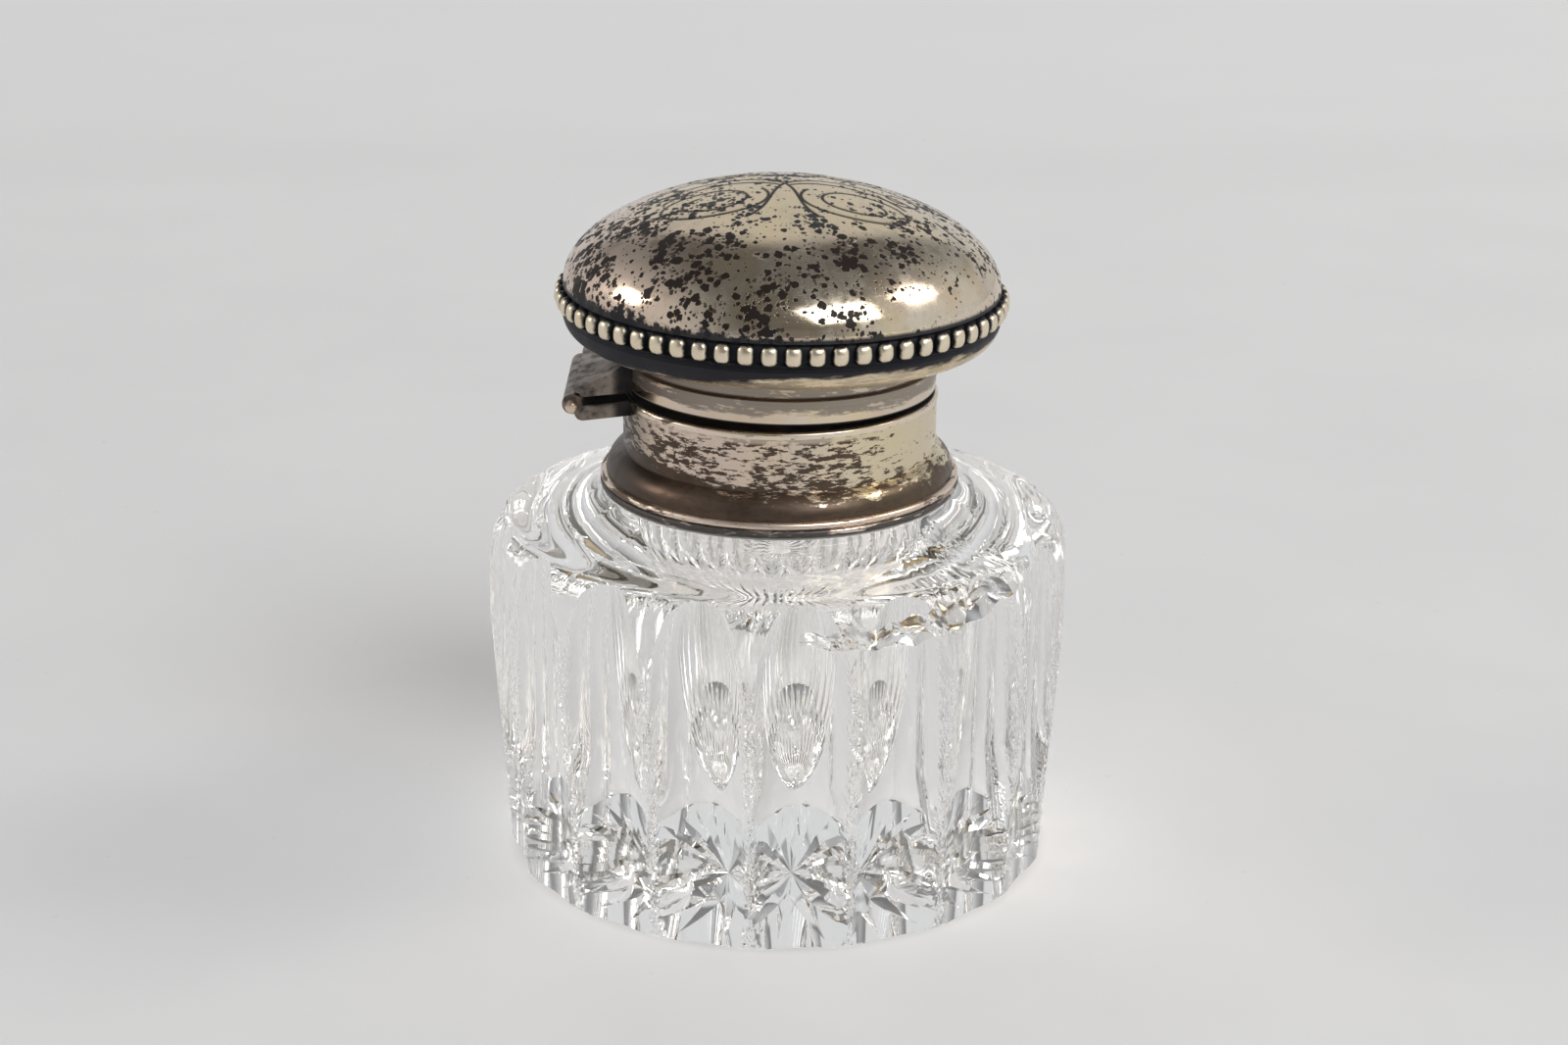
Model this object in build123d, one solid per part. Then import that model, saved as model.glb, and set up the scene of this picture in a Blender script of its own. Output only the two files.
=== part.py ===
from build123d import *
import os
from math import asin, cos, pi, tan

# Silver-mounted cut-glass inkwell. Millimetres, +Z up. The origin is the centre of the foot on the table.
# The lid hinges on the -X side, and its pin lies along Y.

# ---- driving dimensions: cut-glass bottle ----
foot_radius = 36.05  # the uncut blank, on which the flutes leave narrow ridges
belt_radius = 38.25
belt_height = 32.9
foot_chamfer = 0.5
shoulder_rise = 20.2  # reach of the two shoulder handles
shoulder_reach = 13.2
shoulder_dip = 7.6
seat_radius = 23.0  # where the shoulder meets the silver mount
seat_height = 50.1
neck_radius = 17.3
mouth_height = 61.5
mouth_rounding = 0.8
well_radius = 15.2
well_waist = 42.0  # below this the well tapers to a blunt point
well_side_handle = (15.2, 24.0)
well_tip_handle = (9.2, 14.6)
well_floor = 11.9
flute_count = 18
flute_sections = (  # height, radius of the hollow, distance of its deepest line from the axis
    (-1.0, 28.0, 34.95),
    (22.0, 9.3, 35.05),
    (39.5, 7.8, 35.2),
    (45.0, 4.9, 35.3),
    (48.0, 1.5, 35.4),
)
flute_ridge_azimuth = -5.2  # degrees from -Y towards +X
ray_count = 32
ray_length = 32.0
ray_shoulder = 15.0  # radius where a ray is deepest and widest
ray_depth = 1.3
ray_overlap = 1.06  # rays run slightly into each other
ray_start = -0.8

# ---- driving dimensions: silver mount on the neck ----
collar_radius = 20.35
collar_top = 63.2
sheet = 0.8
flare_radius = 3.2
flare_top = 55.45
foot_wire_bottom = 50.4
foot_wire_top = 51.4
foot_wire_radius = 23.4
foot_wire_inner = 21.4
foot_wire_rounding = 0.4
base_bead_radius = 23.35
base_bead_top = 52.4
base_bead_inner = 22.6
top_wire_radius = 20.5
top_wire_inner = 19.3
top_wire_bottom = 62.4
top_wire_rounding = 0.35
bed_rim_radius = 22.8
mouth_flange_inner = 12.5
mouth_flange_thickness = 0.6

# ---- driving dimensions: lid, in its own untilted position ----
lid_tilt = 1.0  # degrees; the lid no longer shuts flat and sits high at the hinge
band_bottom = 64.2
band_radius = 20.2
band_inner = 19.3
band_lip_top = 67.2
band_waist = 19.75
band_top = 70.1
band_spread = 0.5  # how far the waist turns out again under the pan
waist_start = 0.3  # height of the step from the lip to the waist
pan_radius = 28.2
pan_top = 73.3
pan_side_handle = (0.3, 71.2)  # inset from pan_radius, height
pan_floor_handle = (1.4, 70.1)
pan_floor_radius = 22.5
border_inner = 27.3
border_seat = 28.1  # radius of the strip behind the beads
border_top = 76.9
border_flange = 28.5
border_foot_rise = 0.55  # steps of the strip's outline, up from its lower edge
border_flange_rise = 0.95
border_seat_rise = 1.3
border_lip_drop = 0.75
border_lip_hollow = 0.25
bead_count = 62
bead_ring_radius = 28.2
bead_height = 75.45
bead_half_width = 1.05
bead_half_height = 1.22
dome_top = 90.6
dome_side_handle = 9.7
dome_crown_handle = 5.5
liner_rim = 66.0
liner_crown = 72.0
liner_thickness = 0.6

# ---- driving dimensions: hinge ----
pin_x = -26.25
pin_z = 63.65
pin_radius = 0.8
pin_clearance = 0.05
pin_near_overhang = 1.8
pin_far_overhang = 0.6
pin_rounding = 0.5
knuckle_radius = 1.3
knuckle_ends = (-10.2, -3.6, 2.2, 8.2)  # near end, two joints, far end
knuckle_gap = 0.15
sweep_clearance = 0.3
collar_leaf_bottom = 61.35
collar_leaf_top = 63.3
lid_leaf_bottom = 64.05
lid_leaf_outer_top = 65.35
lid_leaf_inner_top = 67.6
leaf_outer_x = -26.0
leaf_outer_half = 9.2
leaf_inner_half = 7.0
leaf_centre_y = -1.0
leaf_corner = 1.2
ramp_hollow = 0.5
leaf_reach = 12.0  # how far a leaf blank runs in from its outer edge before it is trimmed to the ring


def turned(outline):
    """Solid of revolution about the upright axis, from a closed outline in radius and height."""
    return revolve(Plane.XZ * make_face(outline), Axis.Z)


def ring(inner, outer, low, high):
    """Ring with a rectangular section, or a disc where inner is 0."""
    return turned(Polyline((inner, low), (outer, low), (outer, high), (inner, high), close=True))


# ---- cut-glass bottle ----


def glass_blank():
    """Uncut bottle: tapered side, squarish shoulder, neck and bullet-shaped well."""
    side = Polyline(
        (0, 0),
        (foot_radius - foot_chamfer, 0),
        (foot_radius, foot_chamfer),
        (belt_radius, belt_height),
    )
    shoulder = Bezier(
        (belt_radius, belt_height),
        (belt_radius, belt_height + shoulder_rise),
        (seat_radius + shoulder_reach, seat_height - shoulder_dip),
        (seat_radius, seat_height),
    )
    neck = Polyline(
        (seat_radius, seat_height),
        (neck_radius, seat_height),
        (neck_radius, mouth_height - mouth_rounding),
        (neck_radius - mouth_rounding, mouth_height),
        (well_radius + mouth_rounding, mouth_height),
        (well_radius, mouth_height - mouth_rounding),
        (well_radius, well_waist),
    )
    floor = Bezier((well_radius, well_waist), well_side_handle, well_tip_handle, (0, well_floor))
    return turned(side + shoulder + neck + floor + Line((0, well_floor), (0, 0)))


def flute_cutter():
    """Upright cutter for one hollow flute: broad and shallow at the foot, rounder and closing at the arch."""
    sections = [
        Pos(deepest + radius, 0, height) * make_face(CenterArc((0, 0), radius, 0, 360))
        for height, radius, deepest in flute_sections
    ]
    return loft(sections, ruled=True)


def flute_cutters():
    """A ring of flute cutters, placed by the azimuth of a ridge from -Y."""
    cutter = flute_cutter()
    first = flute_ridge_azimuth - 90
    return [
        cutter.rotate(Axis.Z, first + (index + 0.5) * 360 / flute_count) for index in range(flute_count)
    ]


def star_cutters():
    """V-shaped rays of the star cut into the base, each a kite in plan and deepest at its shoulder."""
    half_width = ray_shoulder * tan(ray_overlap * pi / ray_count)
    kite = ConvexPolyhedron(
        [
            (ray_start, 0, 0),
            (ray_length, 0, 0),
            (ray_shoulder, half_width, 0),
            (ray_shoulder, -half_width, 0),
            (ray_shoulder, 0, ray_depth),
        ]
    )
    return [kite.rotate(Axis.Z, index * 360 / ray_count) for index in range(ray_count)]


def glass_bottle():
    return glass_blank() - flute_cutters() - star_cutters()


# ---- silver mount on the neck ----


def flare_point(radius, at_radius):
    """Point on a cavetto arc of the given radius where it reaches at_radius."""
    centre = collar_radius + flare_radius
    turn = asin((centre - at_radius) / radius)
    return at_radius, flare_top - radius * cos(turn)


def collar_body():
    """Sheet collar: straight wall that flares out in a hollow sweep to the base wires."""
    outer_end = flare_point(flare_radius, base_bead_inner)
    inner_end = flare_point(flare_radius + sheet, base_bead_inner)
    inner = collar_radius - sheet
    wall = Polyline((inner, flare_top), (inner, top_wire_bottom), (collar_radius, top_wire_bottom),
                    (collar_radius, flare_top))
    outer = RadiusArc((collar_radius, flare_top), outer_end, flare_radius)
    under = RadiusArc(inner_end, (inner, flare_top), -(flare_radius + sheet))
    return turned(wall + outer + Line(outer_end, inner_end) + under)


def collar_top_wire():
    """Round-edged wire along the collar's mouth."""
    wire = ring(top_wire_inner, top_wire_radius, top_wire_bottom, collar_top)
    return fillet(wire.edges().group_by(Axis.Z)[-1], top_wire_rounding)


def base_bead_wire():
    """Half-round wire around the end of the flare."""
    bead = (base_bead_top - foot_wire_top) / 2
    start = base_bead_radius - bead
    flat = Polyline((start, base_bead_top), (base_bead_inner, base_bead_top),
                    (base_bead_inner, foot_wire_top), (start, foot_wire_top))
    nose = ThreePointArc(
        (start, foot_wire_top), (base_bead_radius, foot_wire_top + bead), (start, base_bead_top)
    )
    return turned(flat + nose)


def base_foot_wire():
    """Flat wire under the bead, with a rounded outer edge, that stands over the glass shoulder."""
    wire = ring(foot_wire_inner, foot_wire_radius, foot_wire_bottom, foot_wire_top)
    outer = wire.edges().filter_by(GeomType.CIRCLE).group_by(SortBy.RADIUS)[-1]
    return fillet(outer, foot_wire_rounding)


def plaster_bed():
    """Plaster that beds the silver mount on the glass neck."""
    inner = collar_radius - sheet
    inner_end = flare_point(flare_radius + sheet, base_bead_inner)
    foot = Polyline(
        (inner, flare_top),
        (inner, mouth_height),
        (neck_radius, mouth_height),
        (neck_radius, seat_height),
        (bed_rim_radius, seat_height),
        (bed_rim_radius, foot_wire_bottom),
        (foot_wire_inner, foot_wire_bottom),
        (foot_wire_inner, foot_wire_top),
        (base_bead_inner, foot_wire_top),
        inner_end,
    )
    return turned(foot + RadiusArc(inner_end, (inner, flare_top), -(flare_radius + sheet)))


def mouth_flange():
    """Flat silver ring over the plaster and the glass mouth, inside the collar."""
    top = mouth_height + mouth_flange_thickness
    plate = ring(mouth_flange_inner, collar_radius - sheet, mouth_height, top)
    inner_edge = plate.edges().filter_by(GeomType.CIRCLE).group_by(SortBy.RADIUS)[0].sort_by(Axis.Z)[-1]
    return fillet(inner_edge, mouth_flange_thickness / 2)


# ---- lid ----


def set_lid(shape):
    """Lean a lid piece from its untilted position to where the worn hinge holds it."""
    return shape.rotate(Axis((0, 0, collar_top), (0, 1, 0)), lid_tilt)


def pan_outline(inset):
    """Underside curve of the lid, from the border in to the band, moved in by a sheet thickness."""
    side_in, side_height = pan_side_handle
    floor_in, floor_height = pan_floor_handle
    return Bezier(
        (pan_radius - inset, pan_top),
        (pan_radius - side_in - inset, side_height + inset / 2),
        (pan_radius - floor_in - inset / 2, floor_height + inset),
        (pan_floor_radius, band_top + inset),
    )


def lid_bezel_band():
    """Upright band that meets the collar, with a plain lip below a shallow waist."""
    lip = Polyline(
        (band_inner, band_top),
        (band_inner, band_bottom),
        (band_radius, band_bottom),
        (band_radius, band_lip_top),
        (band_waist, band_lip_top + waist_start),
    )
    spread = band_radius + band_spread
    waist = Bezier(lip @ 1, (band_waist, band_top - band_spread), (spread, band_top))
    return turned(lip + waist + Line((spread, band_top), (band_inner, band_top)))


def lid_underside():
    """Shallow pan between the band and the beaded border."""
    outer = pan_outline(0)
    inner = pan_outline(sheet)
    floor = Polyline(outer @ 1, (band_inner, band_top), (band_inner, band_top + sheet), inner @ 1)
    return turned(outer + floor + inner + Line(inner @ 0, outer @ 0))


def bead():
    """One bead: a ball stretched upright."""
    ball = Sphere(bead_half_width)
    return scale(ball, by=(1, 1, bead_half_height / bead_half_width))


def bead_border():
    """Beaded wire round the lid: a strip with a hollow above and below, and a row of beads on it."""
    lower = ThreePointArc(
        (pan_radius, pan_top),
        (border_seat, pan_top + border_foot_rise),
        (border_flange, pan_top + border_flange_rise),
    )
    upper = ThreePointArc(
        (border_seat, border_top - border_lip_drop),
        (border_seat - border_lip_hollow, border_top - border_lip_drop / 2),
        (border_seat, border_top),
    )
    strip = (
        lower
        + Polyline(lower @ 1, (border_seat, pan_top + border_seat_rise), upper @ 0)
        + upper
        + Polyline(upper @ 1, (border_inner, border_top), (border_inner, pan_top), lower @ 0)
    )
    border = turned(strip)
    one = Pos(bead_ring_radius, 0, bead_height) * bead()
    beads = [one.rotate(Axis.Z, index * 360 / bead_count) for index in range(bead_count)]
    return border + beads


def dome_outline(inset):
    """Half section of the dome, moved in by a sheet thickness."""
    base = border_seat - inset
    top = dome_top - inset
    return Bezier(
        (base, border_top), (base, border_top + dome_side_handle), (dome_crown_handle, top), (0, top)
    )


def lid_dome():
    """Raised cushion-shaped cover."""
    outer = dome_outline(0)
    inner = dome_outline(sheet)
    return turned(outer + Line(outer @ 1, inner @ 1) + inner + Line(inner @ 0, outer @ 0))


def cap_outline(rim, crown):
    """Half section of the liner's shallow cap."""
    return Bezier((band_inner, rim), (band_inner / 2, crown), (0, crown))


def lid_liner():
    """Gilt inner cap inside the band, which closes the hollow lid from below."""
    low = cap_outline(liner_rim, liner_crown)
    high = cap_outline(liner_rim + liner_thickness, liner_crown + liner_thickness)
    return turned(low + Line(low @ 1, high @ 1) + high + Line(high @ 0, low @ 0))


# ---- hinge ----


def knuckle(start, end, hole_radius):
    """Tube along the hinge axis, from start to end in Y."""
    tube = Cylinder(knuckle_radius, end - start) - Cylinder(hole_radius, end - start)
    return Pos(pin_x, (start + end) / 2, pin_z) * Rot(X=90) * tube


def hinge_bore(start, end, radius):
    """Solid round bar along the hinge axis."""
    return Pos(pin_x, (start + end) / 2, pin_z) * Rot(X=90) * Cylinder(radius, end - start)


def collar_knuckles():
    near, joint, second, far = knuckle_ends
    return (
        knuckle(near, joint - knuckle_gap / 2, pin_radius),
        knuckle(second + knuckle_gap / 2, far, pin_radius),
    )


def lid_knuckle():
    joint, second = knuckle_ends[1:3]
    return knuckle(joint + knuckle_gap / 2, second - knuckle_gap / 2, pin_radius + pin_clearance)


def hinge_pin():
    """Plain pin with domed ends that stand out of the outer knuckles."""
    pin = hinge_bore(knuckle_ends[0] - pin_near_overhang, knuckle_ends[-1] + pin_far_overhang, pin_radius)
    return fillet(pin.edges().filter_by(GeomType.CIRCLE), pin_rounding)


def leaf_plan(low, high):
    """Tapered leaf blank between two heights, from its outer edge in past the ring."""
    inner_x = leaf_outer_x + leaf_reach
    taper = (leaf_outer_half - leaf_inner_half) / (abs(leaf_outer_x) - collar_radius)
    inner_half = leaf_outer_half - taper * leaf_reach
    y = leaf_centre_y
    plan = Polyline(
        (leaf_outer_x, y - leaf_outer_half),
        (inner_x, y - inner_half),
        (inner_x, y + inner_half),
        (leaf_outer_x, y + leaf_outer_half),
        close=True,
    )
    return extrude(Pos(0, 0, low) * make_face(plan), high - low)


def own_knuckles_and_clearance(own, other):
    """What is cut from a leaf: the seats of its own knuckles, and room for the other leaf's to turn."""
    cut = [hinge_bore(start, end, knuckle_radius) for start, end in own]
    cut += [
        hinge_bore(start - knuckle_gap, end + knuckle_gap, knuckle_radius + sweep_clearance)
        for start, end in other
    ]
    return cut


def collar_leaf():
    """Lower hinge leaf, soldered to the collar, with a rounded lower outer corner."""
    near, joint, second, far = knuckle_ends
    blank = leaf_plan(collar_leaf_bottom, collar_leaf_top)
    lower_outer = blank.edges().filter_by(Axis.Y).group_by(Axis.X)[0].sort_by(Axis.Z)[0]
    blank = fillet(lower_outer, leaf_corner)
    cut = own_knuckles_and_clearance([(near, joint), (second, far)], [(joint, second)])
    wall = ring(0, collar_radius, collar_leaf_bottom, collar_leaf_top)
    top_wire = ring(0, top_wire_radius, top_wire_bottom, collar_leaf_top)
    return blank - cut - wall - top_wire


def lid_leaf():
    """Upper hinge leaf: a ramp that rises in a shallow hollow from the barrel to the band."""
    near, joint, second, far = knuckle_ends
    inner_x = leaf_outer_x + leaf_reach
    ring_x = -band_radius
    bottom = Line((inner_x, lid_leaf_bottom), (leaf_outer_x, lid_leaf_bottom))
    edge = Line((leaf_outer_x, lid_leaf_bottom), (leaf_outer_x, lid_leaf_outer_top))
    ramp = Bezier(
        (leaf_outer_x, lid_leaf_outer_top),
        ((leaf_outer_x + ring_x) / 2, lid_leaf_outer_top + ramp_hollow),
        (ring_x, lid_leaf_inner_top),
    )
    back = Polyline(ramp @ 1, (inner_x, lid_leaf_inner_top), (inner_x, lid_leaf_bottom))
    side = make_face(Plane.XZ * (bottom + edge + ramp + back))
    profile = extrude(side, 2 * leaf_outer_half, both=True)
    blank = profile & leaf_plan(lid_leaf_bottom, lid_leaf_inner_top)
    core = turned(
        Polyline(
            (0, collar_leaf_top),
            (band_radius, collar_leaf_top),
            (band_radius, band_lip_top),
            (band_waist, band_lip_top + waist_start),
            (band_waist, band_top),
            (0, band_top),
            close=True,
        )
    )
    cut = own_knuckles_and_clearance([(joint, second)], [(near, joint), (second, far)])
    return set_lid(blank - core) - cut


def main():
    near_knuckle, far_knuckle = collar_knuckles()
    pieces = {
        "glass_bottle": glass_bottle(),
        "plaster_bed": plaster_bed(),
        "collar_body": collar_body(),
        "collar_top_wire": collar_top_wire(),
        "base_bead_wire": base_bead_wire(),
        "base_foot_wire": base_foot_wire(),
        "mouth_flange": mouth_flange(),
        "collar_leaf": collar_leaf(),
        "collar_knuckle_near": near_knuckle,
        "collar_knuckle_far": far_knuckle,
        "hinge_pin": hinge_pin(),
        "lid_bezel_band": set_lid(lid_bezel_band()),
        "lid_underside": set_lid(lid_underside()),
        "bead_border": set_lid(bead_border()),
        "lid_dome": set_lid(lid_dome()),
        "lid_liner": set_lid(lid_liner()),
        "lid_leaf": lid_leaf(),
        "lid_knuckle": lid_knuckle(),
    }
    os.makedirs("parts", exist_ok=True)
    for name, shape in pieces.items():
        export_step(shape, f"parts/{name}.step")


main()
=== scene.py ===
from functools import reduce
from math import cos, pi, radians, sin, tan

import bpy
import numpy as np
from mathutils import Matrix, Vector
from mathutils.kdtree import KDTree


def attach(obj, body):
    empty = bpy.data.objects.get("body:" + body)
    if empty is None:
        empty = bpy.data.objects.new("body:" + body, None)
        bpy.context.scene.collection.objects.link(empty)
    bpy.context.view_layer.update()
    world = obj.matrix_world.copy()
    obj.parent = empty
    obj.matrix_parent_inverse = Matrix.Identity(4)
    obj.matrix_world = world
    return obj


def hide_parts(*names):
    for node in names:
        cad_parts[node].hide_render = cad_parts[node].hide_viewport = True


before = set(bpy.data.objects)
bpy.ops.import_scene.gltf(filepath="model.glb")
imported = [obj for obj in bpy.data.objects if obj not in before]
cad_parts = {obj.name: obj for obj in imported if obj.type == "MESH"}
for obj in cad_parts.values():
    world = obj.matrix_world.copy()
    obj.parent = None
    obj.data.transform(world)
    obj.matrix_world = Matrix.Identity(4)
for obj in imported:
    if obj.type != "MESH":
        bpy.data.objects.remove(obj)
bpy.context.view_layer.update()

# Lengths are in millimetres until a mesh is written, and this turns them into metres.
MM = 0.001

# ---- cut-glass bottle, as in the CAD model ----
FOOT_RADIUS = 36.05
BELT_RADIUS = 38.25
BELT_HEIGHT = 32.9
FOOT_CHAMFER = 0.5
SHOULDER_RISE = 20.2
SHOULDER_REACH = 13.2
SHOULDER_DIP = 7.6
SEAT_RADIUS = 23.0
SEAT_HEIGHT = 50.1
NECK_RADIUS = 17.3
MOUTH_HEIGHT = 61.5
MOUTH_ROUNDING = 0.8
WELL_RADIUS = 15.2
WELL_CURVE = ((WELL_RADIUS, 42.0), (WELL_RADIUS, 24.0), (9.2, 14.6), (0.0, 11.9))
FLUTES = 18
FLUTE_HEIGHTS = (-1.0, 22.0, 39.5, 45.0, 48.0)
FLUTE_RADII = (28.0, 9.3, 7.8, 4.9, 1.5)
FLUTE_DEEPEST = (34.95, 35.05, 35.2, 35.3, 35.4)
UNCUT = 99.0  # stands for no cut at all
ARCH_LOWEST = 36.0  # no flute ends below this
FIRST_RIDGE = -95.2  # degrees from +X
RAYS = 32
RAY_LENGTH = 32.0
RAY_SHOULDER = 15.0
RAY_DEPTH = 1.3
RAY_OVERLAP = 1.06
RAY_START = -0.8
TABLE_RADII = (RAY_LENGTH + 1.2, RAY_LENGTH + 0.2)  # flat rings round the star

# ---- mesh of the bottle ----
FLUTE_COLUMNS = 32
RIDGE_STEPS = (0.0, 0.2, 0.45, 0.8, 1.2, 1.7)  # degrees from a ridge to the columns beside it
FLUTE_ROWS = 100
SHOULDER_ROWS = 16
NECK_ROWS = 4
WELL_ROWS = 28
RAY_TIP_ROWS = (1.0, 0.66, 0.33, 0.0)
RAY_MIDDLE_ROWS = (0.85, 0.7, 0.55, 0.4, 0.25, 0.12, 0.04)
RIDGE_WEAR = 0.9  # half width of the worn strip along a ridge, in mm
WEAR_DEPTH = 0.16
WORN_RIDGES = (0, 1, 2, 16, 17)  # counted anticlockwise from the ridge nearest the camera
WORN_SHARE = 2.2  # how much deeper those ridges are worn
SPALL_AZIMUTH = 47.0  # middle of the broken patch, in degrees from the camera's side towards +X
SPALL_HALF_ANGLE = 19.0
SPALL_HEIGHTS = (41.5, 49.5)
SPALL_DEPTH = 0.45
SPALL_FROSTED = 0.25  # depth from which the break counts as worn
SPALL_ON_SHOULDER = 0.7
CRACK_AZIMUTHS = (4.0, 66.0)
CRACK_HEIGHT = 41.6
CRACK_INSET = 0.9
CRACK_REACH = 4.5
CRACK_GAP = 0.03
CRACK_ROUGHNESS = 0.02
CRACK_COLUMNS = 110
CRACK_ROWS = 8

# ---- plaster under the collar ----
CONTACT = 0.03  # how far the plaster runs into the glass, so that no film of air shows between them
BED_OUTER = 19.55
FLARE_TOP = 55.45
FLARE_UNDER_RADIUS = 4.0
FLARE_ANGLES = (256.3, 180.0)  # degrees round the hollow of the flare, from its foot to its top
FLARE_POINTS = 12
BED_HEEL = 22.8
BED_STEP_RADIUS = 21.4
BED_STEP_HEIGHTS = (50.4, 51.4)
TURNED_COLUMNS = 240

# ---- lid ----
HEIGHT_OF_TILT = 63.2
LID_TILT = 1.0  # degrees, high at the hinge
BEADS = 62
BEAD_RING = 28.2
BEAD_HEIGHT = 75.45
BEAD_PITCH = 2 * pi * BEAD_RING / BEADS
BEAD_HALF = (1.0, 1.12, 1.28)  # radial, along the ring, upright
BEAD_SQUARENESS = 0.78  # 1 is an ellipsoid, less is squarer
BEAD_COLUMNS = 20
BEAD_ROWS = 11
BEAD_SPREAD = (0.96, 1.03)  # smallest and largest bead, as a share of the usual one
BORDER_OUTLINE = (
    (28.2, 73.3), (28.1, 73.85), (28.5, 74.25), (28.1, 74.6), (28.1, 76.15),
    (27.85, 76.52), (28.1, 76.9), (27.3, 76.9), (27.3, 73.3),
)
DOME_RADIUS = 28.1
DOME_FOOT = 76.9
DOME_TOP = 90.6
DOME_CURVE = ((DOME_RADIUS, DOME_FOOT), (DOME_RADIUS, 86.6), (5.5, DOME_TOP), (0.0, DOME_TOP))
DOME_CURVE_POINTS = 4001
DOME_SHEET = 0.8
SHEET_TAPER = 6.0  # the sheet thins to nothing over this much height and radius
DOME_COLUMNS = 600
DOME_FINE_RADIUS = 20.0
DOME_ROWS = (24, 124, 12)  # side, fine top, inside
ENGRAVED_RADIUS = 27.0
ENGRAVING_DEPTH = 0.05
LINE_HALF_WIDTH = 0.16
LINE_FADE = 0.15
LINE_POINTS = 900
SCRATCH_POINTS = 60
# Centre, half widths, starting angle in degrees, turns and shrinkage of each scroll on the right-hand side.
SCROLLS = (
    (9.4, -6.2, 7.6, 4.9, 150, 1.75, 0.62),
    (7.0, 7.4, 6.4, 3.8, -160, 1.6, 0.6),
    (14.6, 0.6, 2.9, 2.6, 200, 1.3, 0.6),
)
# Four control points of each long stroke on the right-hand side.
STROKES = (
    ((0.0, -2.0), (5.0, 2.4), (12.0, 2.8), (17.2, -1.6)),
    ((0.0, 1.2), (5.0, 5.6), (12.5, 5.4), (16.4, 2.6)),
    ((0.6, -2.6), (6.0, 0.6), (12.0, 0.4), (15.2, -3.4)),
    ((1.0, 1.6), (6.0, 7.0), (11.0, 8.2), (14.6, 6.2)),
    ((0.0, -2.0), (2.2, -5.0), (1.4, -9.0), (4.4, -11.4)),
    ((0.0, 1.2), (1.8, 4.2), (1.2, 8.0), (3.6, 10.6)),
)
SCRATCHES = (
    ((-19.0, -8.5), (-17.2, -6.4)),
    ((19.2, -3.4), (22.2, -5.6)),
    ((-3.4, -19.6), (-2.4, -20.4)),
    ((24.2, -8.0), (24.8, -9.4)),
    ((8.0, -16.6), (8.4, -15.6)),
)

# ---- places of the tarnish and of the painted shade ----
# Each pair is where a change of tone starts and ends: heights unless the comment says otherwise.
DOME_GROOVE = (77.2, 77.7)
DOME_EDGE = (78.0, 78.6)
DOME_BARE = (80.0, 85.5)
DOME_GOLD = (85.0, 89.0)
DOME_THINNING = (86.0, 89.0)
DOME_GREYING = (86.5, 89.5)
# Black between and behind the beads: partly oxide, partly painted shade.
BEAD_SIDES = (0.72, 1.0)  # across, from a bead's middle
BEAD_ENDS = (0.9, 1.2)  # up or down from a bead's middle
BEAD_BACKS = (BEAD_RING + 0.2, BEAD_RING + 0.75)  # radii
UNDERSIDE_EDGE = (73.6, 74.4)
# Painted shade: the band's lower lip is black, in the gap above the collar.
BAND_LIP_SHADE = (64.3, 64.45)
BAND_WASH = (65.2, 65.8)
BAND_STEP = 67.45
BAND_STEP_SHADE = (0.12, 0.3)  # up or down from the step
BAND_CORNER = (68.6, 70.2)
COLLAR_DASHES = (52.0, 60.5)
COLLAR_LIP = (61.5, 62.0)
FLARE_STAIN = (54.2, 55.0)
WIRE_INSIDE_SHADE = (20.0, 20.12)  # radii of the painted shade on the inner face of the collar's top wire
HINGE_JOINT = 63.7
JOINT_SHADE = (0.3, 0.9)  # up or down from the joint
LEAF_MIDDLE = (-25.0, -23.6)  # along X
LEAF_CORNER = (-21.6, -20.3)  # along X
MOUTH_GILT_SHADE_RIM = 12.9  # radius past which painted shade blackens the gilding
LINER_GILT_SHADE_RIM = 18.2  # radius past which painted shade blackens the gilding
GILT_FADE = 0.8

# ---- colours and the glass ----
PALE_SILVER = (0.72, 0.635, 0.52)
PINK_SILVER = (0.70, 0.545, 0.45)
GOLD_SILVER = (0.73, 0.605, 0.40)
# Brown of tarnish, also used for painted shade along the band's step.
BROWN_TARNISH_AND_SHADE = (0.085, 0.050, 0.034)
GREY_TARNISH = (0.25, 0.225, 0.205)
# Black of oxide, also used for painted shade in gaps and between the beads.
BLACK_OXIDE_AND_SHADE = (0.012, 0.013, 0.017)
BROWN_SPOT = (0.016, 0.010, 0.007)
GREY_SPOT = (0.04, 0.04, 0.048)
RUBBED_BEAD = (0.92, 0.82, 0.62)
UNDERSIDE_OXIDE = (0.022, 0.021, 0.026)
BRUSHED_FILM = (0.40, 0.345, 0.27)
SMOKED_FILM = (0.10, 0.085, 0.078)
COLLAR_ROSE = (0.71, 0.575, 0.49)
COLLAR_GOLD = (0.72, 0.635, 0.44)
COLLAR_BACK = (0.075, 0.058, 0.048)
DEEP_BROWN = (0.035, 0.020, 0.013)
WORN_BROWN = (0.085, 0.052, 0.034)
LIP_SILVER = (0.86, 0.76, 0.64)
BEAD_WIRE_SILVER = (0.84, 0.68, 0.60)
FOOT_WIRE_SILVER = (0.55, 0.50, 0.46)
FOOT_WIRE_DARK = (0.03, 0.03, 0.035)
HINGE_GREY = (0.20, 0.17, 0.15)
HINGE_GRIME = (0.05, 0.042, 0.038)
RICH_GILT = (0.86, 0.62, 0.27)
PALE_GILT = (0.80, 0.66, 0.42)
GILT_STAIN = (0.06, 0.045, 0.05)
PLASTER = (0.62, 0.60, 0.56)
OLD_PLASTER = (0.52, 0.49, 0.43)
PLASTER_STAIN = (0.38, 0.31, 0.23)
GLASS_INDEX = 1.54  # of refraction
COOL_GLASS = (0.972, 0.974, 0.966)
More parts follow.
